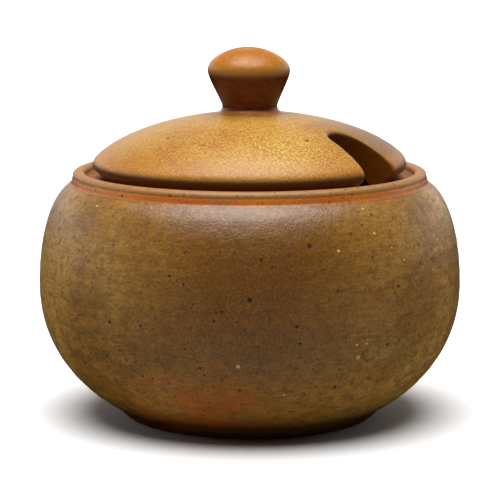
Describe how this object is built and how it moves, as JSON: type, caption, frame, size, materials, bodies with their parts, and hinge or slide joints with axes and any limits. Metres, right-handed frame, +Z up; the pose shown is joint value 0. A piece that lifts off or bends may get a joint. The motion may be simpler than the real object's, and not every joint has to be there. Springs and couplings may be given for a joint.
{
  "type": "lidded sugar bowl",
  "caption": "Round stoneware sugar bowl with a gallery rim and a domed drop-in lid, which has a flared knob and a notch for a spoon.",
  "frame": {"origin": "on the table, under the centre of the foot ring", "axes": "+Z up along the bowl's axis, +X towards the lid's spoon notch"},
  "size_m": [0.115, 0.115, 0.101],
  "materials": {
    "bowl_glaze": "satin olive-brown iron glaze, speckled, orange at the collar",
    "lid_glaze": "satin golden-orange glaze with a fine crystalline grain",
    "knob_glaze": "satin red-brown glaze, orange on top"
  },
  "bodies": {
    "bowl": {"bowl": "bowl_glaze"},
    "lid": {"lid": "lid_glaze", "knob": "knob_glaze"}
  },
  "joints": [
    {"name": "lid_lift", "type": "slide", "parent": "bowl", "child": "lid", "axis": [0, 0, 1], "range_m": [0, 0.08]}
  ]
}
